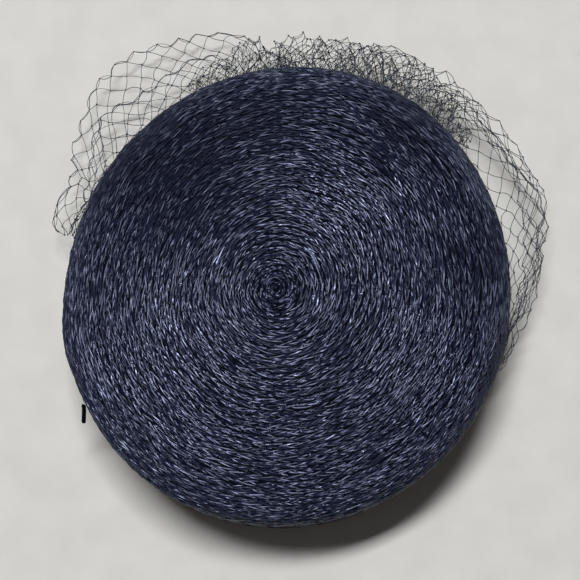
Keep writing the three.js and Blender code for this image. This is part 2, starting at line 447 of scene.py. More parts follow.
@dataclass
class Wiring:
    """Short ways to add and join nodes in one node tree."""

    tree: bpy.types.NodeTree

    def node(self, kind: str, **settings: object) -> bpy.types.Node:
        """Adds a node and sets its own properties.

        Args:
            kind: Blender's name of the node's type.
            settings: values of its properties, by name.

        Returns:
            The node.
        """
        made = self.tree.nodes.new(kind)
        for label, value in settings.items():
            setattr(made, label, value)
        return made

    def join(self, source: object, target: bpy.types.NodeSocket) -> None:
        """Links an output socket to an input, or sets the input to a number or a colour.

        Args:
            source: a socket, a number or a colour of three numbers.
            target: the input.
        """
        if isinstance(source, bpy.types.NodeSocket):
            self.tree.links.new(source, target)
        elif isinstance(source, tuple):
            target.default_value = (*source, 1.0)
        else:
            target.default_value = source

    def maths(self, operation: str, first: object, second: object) -> bpy.types.NodeSocket:
        """Adds a Math node.

        Args:
            operation: Blender's name of the operation.
            first: a socket or a number.
            second: a socket or a number.

        Returns:
            The node's result.
        """
        made = self.node("ShaderNodeMath", operation=operation)
        self.join(first, made.inputs[0])
        self.join(second, made.inputs[1])
        return made.outputs[0]

    def noise(self, vector: bpy.types.NodeSocket, scale: object, detail: float) -> bpy.types.NodeSocket:
        """Adds a Noise Texture.

        Args:
            vector: where the noise is read.
            scale: a socket or a number.
            detail: how many finer layers it has.

        Returns:
            The noise value, from about 0.2 to 0.8.
        """
        made = self.node("ShaderNodeTexNoise")
        self.join(vector, made.inputs["Vector"])
        self.join(scale, made.inputs["Scale"])
        self.join(detail, made.inputs["Detail"])
        return made.outputs["Fac"]

    def stretched(self, value: bpy.types.NodeSocket, limits: tuple[float, float]) -> bpy.types.NodeSocket:
        """Adds a Map Range node that stretches the values between two limits to the range from 0 to 1.

        Args:
            value: the values.
            limits: the values that become 0 and 1.

        Returns:
            The node's result.
        """
        made = self.node("ShaderNodeMapRange")
        self.join(value, made.inputs["Value"])
        self.join(limits[0], made.inputs["From Min"])
        self.join(limits[1], made.inputs["From Max"])
        return made.outputs["Result"]

    def mixed(self, share: object, first: object, second: object) -> bpy.types.NodeSocket:
        """Adds a colour Mix node.

        Args:
            share: socket or number, the second colour's part.
            first: socket or colour.
            second: socket or colour.

        Returns:
            The mixed colour.
        """
        made = self.node("ShaderNodeMix", data_type="RGBA")
        for place, value in ((0, share), (6, first), (7, second)):
            self.join(value, made.inputs[place])
        return made.outputs[2]


@dataclass(frozen=True)
class FibreGroup:
    """Fine fibres that run along a strand, used by every straw and thread finish."""

    name: str = "fibre grain"
    tone_shift: float = 7.0
    fine_detail: float = 3.0
    coarse_detail: float = 1.0
    coarse_share: float = 0.23
    mask_limits: tuple[float, float] = (0.3, 0.7)

    def tree(self) -> bpy.types.NodeTree:
        """Builds the node group where it isn't there yet.

        Returns:
            The group.
        """
        found = bpy.data.node_groups.get(self.name)
        if found is not None:
            return found
        group = new_group(
            self.name,
            {
                "Strand": ("NodeSocketVector", 0.0),
                "Fibres Per Metre": ("NodeSocketFloat", 4000.0),
                "Stretch": ("NodeSocketFloat", 12.0),
            },
            {"Height": "NodeSocketFloat", "Mask": "NodeSocketFloat"},
        )
        wiring = Wiring(group)
        source = group.nodes["Group Input"].outputs
        sink = group.nodes["Group Output"].inputs
        split = wiring.node("ShaderNodeSeparateXYZ")
        wiring.join(source["Strand"], split.inputs[0])
        along = wiring.maths("DIVIDE", split.outputs[0], source["Stretch"])
        shift = wiring.maths("MULTIPLY", split.outputs[2], self.tone_shift)
        joined = wiring.node("ShaderNodeCombineXYZ")
        wiring.join(along, joined.inputs[0])
        wiring.join(split.outputs[1], joined.inputs[1])
        wiring.join(shift, joined.inputs[2])
        fine = wiring.noise(joined.outputs[0], source["Fibres Per Metre"], self.fine_detail)
        coarse_scale = wiring.maths("MULTIPLY", source["Fibres Per Metre"], self.coarse_share)
        coarse = wiring.noise(joined.outputs[0], coarse_scale, self.coarse_detail)
        wiring.join(wiring.maths("ADD", fine, coarse), sink["Height"])
        wiring.join(wiring.stretched(coarse, self.mask_limits), sink["Mask"])
        return group


@dataclass(frozen=True)
class PatchGroup:
    """Slow changes of shade over the object, as uneven dye and handling leave them."""

    name: str = "uneven dye"
    detail: float = 3.0
    mask_limits: tuple[float, float] = (0.32, 0.68)

    def tree(self) -> bpy.types.NodeTree:
        """Builds the node group where it isn't there yet.

        Returns:
            The group.
        """
        found = bpy.data.node_groups.get(self.name)
        if found is not None:
            return found
        group = new_group(
            self.name,
            {"Patches Per Metre": ("NodeSocketFloat", 30.0)},
            {"Mask": "NodeSocketFloat"},
        )
        wiring = Wiring(group)
        place = wiring.node("ShaderNodeTexCoord").outputs["Object"]
        value = wiring.noise(place, group.nodes["Group Input"].outputs[0], self.detail)
        mask = wiring.stretched(value, self.mask_limits)
        wiring.join(mask, group.nodes["Group Output"].inputs["Mask"])
        return group


@dataclass(frozen=True)
class StrandFinish:
    """Finish of dyed straw or thread: a dark body colour with a paler fibre colour and fine grain."""

    name: str
    deep: tuple[float, float, float]
    pale: tuple[float, float, float]
    cast: tuple[float, float, float]
    roughness: float
    roughness_spread: float
    dullness: float
    specular: float
    tint: tuple[float, float, float]
    fibres_per_metre: float
    bump_depth: float
    haze: float = 0.35

    def material(self) -> bpy.types.Material:
        """Builds the material where it isn't there yet.

        Returns:
            The material.
        """
        found = bpy.data.materials.get(self.name)
        if found is not None:
            return found
        made = bpy.data.materials.new(self.name)
        made.use_nodes = True
        wiring = Wiring(made.node_tree)
        shader = made.node_tree.nodes["Principled BSDF"]
        strand = wiring.node("ShaderNodeAttribute", attribute_name=STRAND_DATA)
        fibres = wiring.node("ShaderNodeGroup", node_tree=FibreGroup().tree())
        fibres.inputs["Fibres Per Metre"].default_value = self.fibres_per_metre
        wiring.join(strand.outputs["Vector"], fibres.inputs["Strand"])
        patches = wiring.node("ShaderNodeGroup", node_tree=PatchGroup().tree())
        split = wiring.node("ShaderNodeSeparateXYZ")
        wiring.join(strand.outputs["Vector"], split.inputs[0])
        # The strand's tone sets the colour between deep and pale; on the straw it carries painted shade and
        # painted glints as well as random tone.
        tone = wiring.maths("MULTIPLY", split.outputs[2], fibres.outputs["Mask"])
        body = wiring.mixed(tone, self.deep, self.pale)
        haze = wiring.maths("MULTIPLY", patches.outputs["Mask"], self.haze)
        wiring.join(wiring.mixed(haze, body, self.cast), shader.inputs["Base Color"])
        low_tone = wiring.maths("SUBTRACT", 1.0, split.outputs[2])
        spread = wiring.maths("MULTIPLY", fibres.outputs["Mask"], self.roughness_spread)
        shade_dulling = wiring.maths("MULTIPLY", low_tone, self.dullness)
        uneven = wiring.maths("ADD", spread, shade_dulling)
        wiring.join(wiring.maths("ADD", uneven, self.roughness), shader.inputs["Roughness"])
        bump = wiring.node("ShaderNodeBump")
        bump.inputs["Distance"].default_value = self.bump_depth
        bump.inputs["Strength"].default_value = 1.0
        wiring.join(fibres.outputs["Height"], bump.inputs["Height"])
        wiring.join(bump.outputs["Normal"], shader.inputs["Normal"])
        shader.inputs["Specular IOR Level"].default_value = self.specular
        shader.inputs["Specular Tint"].default_value = (*self.tint, 1.0)
        return made


@dataclass(frozen=True)
class FloorFinish:
    """Plain pale floor."""

    name: str = "pale floor"
    colour: tuple[float, float, float] = (0.68, 0.675, 0.655)
    shade: tuple[float, float, float] = (0.64, 0.632, 0.61)
    patches_per_metre: float = 60.0
    roughness: float = 0.95
    specular: float = 0.1

    def material(self) -> bpy.types.Material:
        """Builds the material.

        Returns:
            The material.
        """
        made = bpy.data.materials.new(self.name)
        made.use_nodes = True
        wiring = Wiring(made.node_tree)
        shader = made.node_tree.nodes["Principled BSDF"]
        patches = wiring.node("ShaderNodeGroup", node_tree=PatchGroup().tree())
        patches.inputs["Patches Per Metre"].default_value = self.patches_per_metre
        mixed = wiring.mixed(patches.outputs["Mask"], self.colour, self.shade)
        wiring.join(mixed, shader.inputs["Base Color"])
        shader.inputs["Roughness"].default_value = self.roughness
        shader.inputs["Specular IOR Level"].default_value = self.specular
        return made


STRAW = StrandFinish(
    name="navy straw",
    deep=(0.0012, 0.0025, 0.012),
    pale=(0.005, 0.008, 0.038),
    cast=(0.0025, 0.005, 0.016),
    roughness=0.25,
    roughness_spread=0.08,
    dullness=0.29,
    specular=0.79,
    tint=(0.62, 0.69, 1.0),
    fibres_per_metre=2600.0,
    bump_depth=0.000016,
)
# Near-black, almost unreflecting straw: painted shade, for the core seen in the grooves and for the braid
# end in the shade under the shoulder.
STRAW_SHADE = StrandFinish(
    name="navy straw painted as shade",
    deep=(0.0015, 0.002, 0.006),
    pale=(0.003, 0.004, 0.010),
    cast=(0.002, 0.003, 0.006),
    roughness=0.7,
    roughness_spread=0.2,
    dullness=0.0,
    specular=0.05,
    tint=(0.84, 0.87, 1.0),
    fibres_per_metre=2600.0,
    bump_depth=0.00005,
)
NET_THREAD = StrandFinish(
    name="dark net thread",
    deep=(0.010, 0.017, 0.033),
    pale=(0.042, 0.060, 0.095),
    cast=(0.022, 0.032, 0.050),
    roughness=0.35,
    roughness_spread=0.2,
    dullness=0.0,
    specular=0.5,
    tint=(1.0, 1.0, 1.0),
    fibres_per_metre=9000.0,
    bump_depth=0.00002,
)


def place_piece(
    piece: bpy.types.Object,
    finish: StrandFinish,
    replaced: tuple[str, ...] = (),
) -> None:
    """Dresses a piece and ties it to the model.

    Args:
        piece: the object.
        finish: its finish.
        replaced: names of the solids that it stands for.
    """
    piece.data.materials.append(finish.material())
    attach(piece, "root")
    if replaced:
        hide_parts(*replaced)
    triangles = len(piece.data.loops) - 2 * len(piece.data.polygons)
    log.info("%s: %d triangles", piece.name, triangles)


@dataclass(frozen=True)
class ShadePatch:
    """A spot of painted shade, where the straw is also duller, or, below zero, a spot of painted light,
    where it is also shinier. Degrees, millimetres.
    """

    angle: float
    radius: float
    size: float
    strength: float


# Spots of painted shade on the crown and shoulder, and below zero of painted light: angle, distance from
# the axis, size and strength.
SHADE_PATCHES = (
    ShadePatch(155.0, 80.0, 34.0, 0.5),
    ShadePatch(28.0, 95.0, 33.0, 0.52),
    ShadePatch(74.0, 96.0, 24.0, 0.45),
    ShadePatch(115.0, 76.0, 18.0, 0.25),
    ShadePatch(168.0, 94.0, 16.0, 0.3),
    ShadePatch(208.0, 88.0, 22.0, 0.15),
    ShadePatch(150.0, 50.0, 30.0, 0.12),
    ShadePatch(235.0, 62.0, 40.0, -0.3),
    ShadePatch(80.0, 36.0, 26.0, -0.3),
    ShadePatch(355.0, 62.0, 26.0, -0.2),
)


def shade_and_dulling(places: np.ndarray) -> np.ndarray:
    """How much the straw is dulled and darkened by painted shade at given places.

    Args:
        places: rows of places in millimetres.

    Returns:
        Amounts, below zero where the straw is shinier and painted paler.
    """
    total = np.zeros(len(places))
    for patch in SHADE_PATCHES:
        turn = math.radians(patch.angle)
        middle = np.array([math.cos(turn), math.sin(turn)]) * patch.radius
        gap = np.linalg.norm(places[:, :2] - middle, axis=1) / patch.size
        total += patch.strength * np.exp(-gap * gap)
    return total


@dataclass(frozen=True)
class Stretch:
    """One stretch of the spiral, with an array of one value per point for each thing that varies.

    turn is the angle round the axis and run the distance from the middle of the crown. swing is how far
    the plaiting has gone, lean how the braid tilts and loose how much less even it is than usual. over,
    lying and calm say how far the straws have turned down over the shoulder, how level they lie on it and
    how close and even. The dulling amount says how much duller the straws are and how much shade is painted
    into their colour; below zero they are shinier and painted paler. grain is a factor on the unevenness's
    length.
    """

    turn: np.ndarray
    run: np.ndarray
    along: np.ndarray
    swing: np.ndarray
    lean: np.ndarray
    loose: np.ndarray
    over: np.ndarray
    lying: np.ndarray
    calm: np.ndarray
    shade_dulling: np.ndarray
    grain: float
    seed: int


@dataclass
class Winding:
    """The wound braid of the hat: folded straws plaited flat and laid round and round. Millimetres."""

    form: HatForm
    strands: int = 5
    sides: int = 3
    pitch: float = 2.6
    depth: float = 0.86
    half_width: float = 0.41
    half_height: float = 0.103
    plait_reach: float = 0.9
    plait_rise: float = 0.26
    plait_length: float = 24.0
    plait_roll: float = 0.15
    groove: float = 0.16
    crown_step: float = 1.15
    wall_step: float = 1.7
    centre_step: float = 0.5
    centre_grain: float = 0.4
    centre_slack: float = 1.6
    centre_reach: float = 11.0
    first_turn: float = 0.12
    points_per_turn: int = 360
    rim_rest: float = 1.0
    sway: float = 0.45
    sway_length: float = 34.0
    pace: Unevenness = Unevenness(0.55, 19.0)
    lean: Unevenness = Unevenness(0.09, 26.0)
    wobble: Unevenness = Unevenness(0.22, 7.0)
    swell: Unevenness = Unevenness(0.2, 5.0)
    long_swell: Unevenness = Unevenness(0.12, 13.0)
    roll: Unevenness = Unevenness(0.56, 3.3)
    roll_grain: Unevenness = Unevenness(0.22, 1.3)
    thickness: Unevenness = Unevenness(0.24, 5.0)
    tone: float = 0.52
    tone_change: Unevenness = Unevenness(0.3, 24.0)
    # How far the tone falls in the shade patches: painted shade in the straw's colour, and duller straw.
    patch_shade_drop: float = 1.2
    # How far the tone falls where the straws lie calm: painted shade on that side of the shoulder, and
    # duller straw.
    calm_shade_drop: float = 0.4
    # Bright dashes: short stretches where the tone rises, a painted glint in the colour as well as shinier
    # straw.
    spark: float = 0.55
    spark_change: Unevenness = Unevenness(2.2, 3.0)
    spark_floor: float = 0.9
    dull_fold: float = 1.8
    calm_fold: float = 0.5
    fold_limits: tuple[float, float] = (0.5, 4.0)
    matt_pace: float = 2.4
    matt_lying: float = 0.95
    over_lead: float = 2.0
    over_length: float = 7.0
    calm_share: float = 0.9
    calm_angle: float = 30.0
    calm_start: float = 4.0
    calm_length: float = 5.0
    lying_share: float = 0.75
    lying_hold: float = 0.6
    lying_fade: float = 8.0
    sway_seed: int = 11
    seed: int = 11000
    band_seeds: int = 100
    strand_seeds: int = 10

    @property
    def last_run(self) -> float:
        """Distance of the lowest straws from the middle of the crown."""
        return self.form.full_run - self.rim_rest

    def zone(self, zone: Zone) -> tuple[float, float]:
        """Where a zone of the shell starts and ends.

        Args:
            zone: the zone.

        Returns:
            Its first and last distance from the middle of the crown.
        """
        crown = self.form.crown_run
        shoulder = crown + self.form.shoulder_run
        ends = {
            Zone.CROWN: (0.0, crown),
            Zone.SHOULDER: (crown, shoulder),
            Zone.WALL: (shoulder, self.form.full_run),
        }
        return ends[zone]

    def turns(self, start: float, stop: float, step: float) -> np.ndarray:
        """Turns of the spiral at even distances along it.

        Args:
            start: distance of its first round from the middle of the crown.
            stop: distance of its last round.
            step: distance between two points of the strand.

        Returns:
            Turns, counted from the middle of the crown.
        """
        first = max(start / self.pitch, self.first_turn)
        last = stop / self.pitch
        fine = np.linspace(first, last, int((last - first) * self.points_per_turn) + 2)
        places, _ = self.form.surface(fine * self.pitch, fine * FULL_TURN)
        along = distance_along(places)
        return np.interp(np.arange(0.0, along[-1], step), along, fine)

    def over(self, run: np.ndarray) -> np.ndarray:
        """How far the rounds have turned down over the shoulder, from 0 to 1."""
        return np.clip((run - self.form.crown_run + self.over_lead) / self.over_length, 0.0, 1.0)

    def matt(self, shade_dulling: np.ndarray) -> np.ndarray:
        """How matt the straws are, from 0 to 1, where the patches of painted shade dull them."""
        return np.clip(self.matt_pace * shade_dulling, 0.0, 1.0)

    def calm_side(self, turn: np.ndarray) -> np.ndarray:
        """How near an angle is to the side where the straws lie close and even, from 0 to 1."""
        return np.maximum(np.cos(turn - math.radians(self.calm_angle)), 0.0) ** 2

    def calm(self, run: np.ndarray, turn: np.ndarray, shade_dulling: np.ndarray) -> np.ndarray:
        """How close and even the straws lie against the shoulder.

        Args:
            run: distances from the middle of the crown.
            turn: angles round the axis, in radians.
            shade_dulling: how much the straw is dulled and painted darker there.

        Returns:
            Shares from 0 to calm_share.
        """
        late = np.clip((run - self.form.crown_run - self.calm_start) / self.calm_length, 0.0, 1.0)
        return self.calm_share * late * self.calm_side(turn) * (1 - self.matt(shade_dulling))

    def lying(self, run: np.ndarray, turn: np.ndarray, shade_dulling: np.ndarray) -> np.ndarray:
        """How level the straws lie on the shoulder, each round on the one below it.

        Args:
            run: distances from the middle of the crown.
            turn: angles round the axis, in radians.
            shade_dulling: how much the straw is dulled and painted darker there.

        Returns:
            Shares from 0 for close to the shell to 1 for level.
        """
        fade_start = self.form.crown_run + self.lying_hold * self.form.shoulder_run
        fade_length = (1 - self.lying_hold) * self.form.shoulder_run + self.lying_fade
        left = np.clip(1 - (run - fade_start) / fade_length, 0.0, 1.0)
        share = self.lying_share * (1 - self.calm_side(turn))
        share = share + (self.matt_lying - share) * self.matt(shade_dulling)
        return share * self.over(run) * left

    def stretch(self, turns: np.ndarray, seed: int, grain: float) -> Stretch:
        """Works out how the braid runs and lies along a stretch of the spiral.

        Args:
            turns: turns of the spiral at the stretch's points.
            seed: seed of the stretch's unevenness.
            grain: factor on the length of its unevenness.

        Returns:
            The stretch.
        """
        turn = turns * FULL_TURN
        plain, _ = self.form.surface(turns * self.pitch, turn)
        along = distance_along(plain)
        run = turns * self.pitch + self.sway * ripple(plain, self.sway_length, self.sway_seed)
        run = np.clip(run, 0.0, self.last_run)
        rate = 1.0 + self.pace.at(along, seed + 1)
        swing = np.concatenate([[0.0], np.cumsum(np.diff(along) * rate[1:])])
        # Amount of the shade patches here: duller straw, with painted shade in its colour.
        shade_dulling = shade_and_dulling(plain)
        return Stretch(
            turn=turn,
            run=run,
            along=along,
            swing=swing * FULL_TURN / self.plait_length,
            lean=self.lean.at(along, seed),
            loose=1 + self.centre_slack * np.exp(-((run / self.centre_reach) ** 2)),
            over=self.over(run),
            lying=self.lying(run, turn, shade_dulling),
            calm=self.calm(run, turn, shade_dulling),
            shade_dulling=shade_dulling,
            grain=grain,
            seed=seed,
        )

    def shade(self, stretch: Stretch, seed: int) -> np.ndarray:
        """Tone of one straw along a stretch: uneven at random, darkened as painted shade in the shade
        patches and where the straws lie calm on the shoulder, with a few bright dashes of painted glint.

        Args:
            stretch: the stretch.
            seed: the straw's own seed.

        Returns:
            Tones from 0 to 1.
        """
        # Painted glints: short stretches where the tone rises, making the straw paler in colour as well as
        # shinier.
        dash = self.spark_change.at(stretch.along, seed + 7, stretch.grain) - self.spark_floor
        spark = self.spark * np.clip(dash, 0.0, 1.0) * (1 - stretch.calm)
        tone = self.tone + self.tone_change.at(stretch.along, seed + 5)
        # Painted shade: the tone, and with it the colour, falls in the shade patches and where the straws
        # lie calm.
        tone = tone - self.patch_shade_drop * stretch.shade_dulling - self.calm_shade_drop * stretch.calm
        return np.clip(np.maximum(tone, 0.0) + spark, 0.0, 1.0)

    def add_straw(self, parts: MeshParts, stretch: Stretch, number: int) -> None:
        """Adds one straw of the braid along a stretch.

        Args:
            parts: where the straw goes.
            stretch: the stretch.
            number: which of the braid's straws it is, counted from 0.
        """
        along = stretch.along
        grain = stretch.grain
        seed = stretch.seed + self.strand_seeds * (number + 1)
        phase = stretch.swing + number * FULL_TURN / self.strands
        offset = self.plait_reach * np.sin(phase) + stretch.loose * self.wobble.at(along, seed, grain)
        run = np.clip(stretch.run + offset, 0.0, self.last_run)
        middle, outward = self.form.surface(run, stretch.turn)
        rise = self.plait_rise * np.sin(2 * phase) + stretch.lean * offset
        rise = rise - self.groove * (offset / self.plait_reach) ** 2
        rise = rise + stretch.loose * self.swell.at(along, seed + 1, grain)
        rise = rise + self.long_swell.at(along, seed + 2)
        path = middle + outward * (rise - self.depth)[:, None]
        level = stretch.lying[:, None]
        ahead = unit(np.gradient(path, axis=0))
        side = unit(np.cross(ahead, unit(outward * (1 - level) + UPWARD * level)))
        up = np.cross(side, ahead)
        roll = self.roll.at(along, seed + 3, grain) + self.roll_grain.at(along, seed + 6, grain)
        roll = (roll + self.plait_roll * np.cos(phase)) * (1 - stretch.calm)
        flat = side * np.cos(roll)[:, None] + up * np.sin(roll)[:, None]
        tall = up * np.cos(roll)[:, None] - side * np.sin(roll)[:, None]
        thick = 1 + self.thickness.at(along, seed + 4)
        fold = 1 + self.dull_fold * stretch.shade_dulling * (1 - stretch.over * (1 - stretch.lying))
        fold = np.clip(fold - self.calm_fold * stretch.calm, *self.fold_limits)
        half_width = self.half_width * thick
        half_height = self.half_height * thick * fold
        tube(parts, path, flat, tall, half_width, half_height, self.sides, self.shade(stretch, seed))

    def build(self) -> None:
        """Builds and dresses each stretch of the winding."""
        for order, band in enumerate(Band):
            name, first, last, zone = band.value
            low, high = self.zone(zone)
            step = self.wall_step if zone is Zone.WALL else self.crown_step
            grain = 1.0
            if band is Band.CROWN_CENTRE:
                step = self.centre_step
                grain = self.centre_grain
            turns = self.turns(low + first * (high - low), low + last * (high - low), step)
            stretch = self.stretch(turns, self.seed + order * self.band_seeds, grain)
            parts = MeshParts()
            for number in range(self.strands):
                self.add_straw(parts, stretch, number)
            place_piece(parts.piece(name, self.sides), STRAW, ("straw_body",))


@dataclass
class StrawCore:
    """The thin inner layer that the rounds are sewn to, seen only in the grooves, where its near-black,
    almost unreflecting finish is painted shade.
    """

    form: HatForm
    depth: float = 1.0
    thickness: float = 0.25
    plan_steps: int = 200
    run_steps: int = 70
    rim_rest: float = 0.6

    def build(self) -> None:
        """Builds and dresses the layer as one closed shell."""
        run = np.linspace(0.0, self.form.full_run - self.rim_rest, self.run_steps)[1:]
        turn = np.arange(self.plan_steps) * FULL_TURN / self.plan_steps
        runs, turns = np.meshgrid(run, turn, indexing="ij")
        places, outward = self.form.surface(runs.ravel(), turns.ravel())
        tip, tip_out = self.form.surface(np.zeros(1), np.zeros(1))
        depths = (self.depth, self.depth + self.thickness)
        skins = [np.concatenate([tip - tip_out * depth, places - outward * depth]) for depth in depths]
        step = np.arange(self.plan_steps)
        after = (step + 1) % self.plan_steps
        rows = np.arange(len(run) - 1)[:, None] * self.plan_steps + 1
        below = rows + self.plan_steps
        outer = np.stack([rows + step, below + step, below + after, rows + after], axis=-1).reshape(-1, 4)
        size = len(skins[0])
        inner = outer[:, ::-1] + size
        edge = 1 + (len(run) - 1) * self.plan_steps
        lip = np.stack([edge + step, edge + size + step, edge + size + after, edge + after], axis=-1)
        cap = np.stack([np.zeros_like(step), 1 + step, 1 + after], axis=-1)
        quads = np.concatenate([outer, inner, lip])
        triangles = np.concatenate([cap, cap[:, ::-1] + size])
        parts = MeshParts()
        parts.add(np.concatenate(skins), quads, triangles)
        # The core takes the near-black straw of painted shade, for the dark of the grooves.
        place_piece(parts.piece("straw_core"), STRAW_SHADE, ("straw_body",))


@dataclass(frozen=True)
class VeilSection:
    """The veil at a share of its span: its reach and drop as shares of the veil's, and how it lies.

    openness goes from 0 where it is rolled to 1 where it lies open, and band from 0 to 1 where it is
    stretched out to a folded band.
    """

    along: float
    reach: float
    openness: float
    drop: float
    band: float = 0.0


VEIL_SECTIONS = (
    VeilSection(0.0, 0.06, 0.7, 0.30, 0.6),
    VeilSection(0.05, 0.20, 0.75, 0.45, 0.8),
    VeilSection(0.10, 0.42, 0.5, 0.60, 1.0),
    VeilSection(0.15, 0.59, 0.15, 0.72, 1.0),
    VeilSection(0.20, 0.60, 0.0, 0.85, 1.0),
    VeilSection(0.26, 0.75, 0.0, 0.95, 1.0),
    VeilSection(0.34, 0.77, 0.0, 1.0, 0.8),
    VeilSection(0.41, 0.77, 0.0, 1.0, 0.4),
    VeilSection(0.46, 0.77, 0.0, 1.0, 0.2),
    VeilSection(0.52, 0.57, 0.05, 1.0),
    VeilSection(0.58, 0.53, 0.2, 1.0),
    VeilSection(0.62, 0.62, 0.6, 1.0),
    VeilSection(0.65, 0.9, 0.9, 1.0),
    VeilSection(0.68, 1.0, 1.0, 1.0),
    VeilSection(0.73, 1.06, 1.0, 1.0),
    VeilSection(0.78, 1.27, 1.0, 1.0),
    VeilSection(0.82, 1.15, 1.0, 1.0),
    VeilSection(0.85, 1.01, 1.0, 1.0),
    VeilSection(0.89, 0.78, 1.0, 0.95),
    VeilSection(0.92, 0.59, 0.9, 0.85),
    VeilSection(0.96, 0.62, 0.8, 0.75),
    VeilSection(0.985, 0.56, 0.7, 0.65),
    VeilSection(1.0, 0.36, 0.6, 0.5),
)

# Routes of the net across its width, as shares of its reach and of its drop: stretched out to a folded
# outer band, crumpled into a thick roll, and laid open like a skirt.
BAND_ROUTE = (
    (0.02, 0.0), (0.22, 0.1), (0.44, 0.25), (0.66, 0.35), (0.86, 0.42), (1.0, 0.55),
    (0.95, 0.75), (0.74, 0.62), (0.57, 0.5), (0.72, 0.72), (0.93, 0.88), (0.76, 0.95),
)
ROLLED_ROUTE = (
    (0.02, 0.0), (0.4, -0.12), (0.8, 0.02), (0.97, 0.3), (0.6, 0.45), (0.25, 0.3),
    (0.1, 0.6), (0.45, 0.75), (0.8, 0.6), (1.0, 0.88), (0.65, 1.0), (0.3, 0.95),
)
OPEN_ROUTE = (
    (0.02, 0.0), (0.06, 0.3), (0.04, 0.6), (0.08, 0.85), (0.12, 0.5), (0.08, 0.3),
    (0.11, 0.7), (0.24, 0.86), (0.43, 0.93), (0.62, 0.97), (0.81, 0.99), (1.0, 1.0),
)
SKIRT_ROUTE = ((0.02, 0.0), (0.1, 0.35), (0.25, 0.6), (0.5, 0.8), (0.76, 0.92), (1.0, 1.0))

GATHER_SECTIONS = (
    VeilSection(0.0, 0.3, 0.0, 0.7, 0.3),
    VeilSection(0.18, 0.6, 0.0, 0.9),
    VeilSection(0.5, 0.55, 0.0, 1.0),
    VeilSection(0.82, 0.5, 0.0, 0.9),
    VeilSection(1.0, 0.25, 0.0, 0.7),
)
FOLD_SECTIONS = (
    VeilSection(0.0, 0.45, 1.0, 0.8),
    VeilSection(0.15, 0.85, 1.0, 0.9),
    VeilSection(0.35, 0.62, 1.0, 0.9),
    VeilSection(0.6, 0.82, 1.0, 0.8),
    VeilSection(0.85, 0.42, 1.0, 0.7),
    VeilSection(1.0, 0.16, 1.0, 0.6),
)


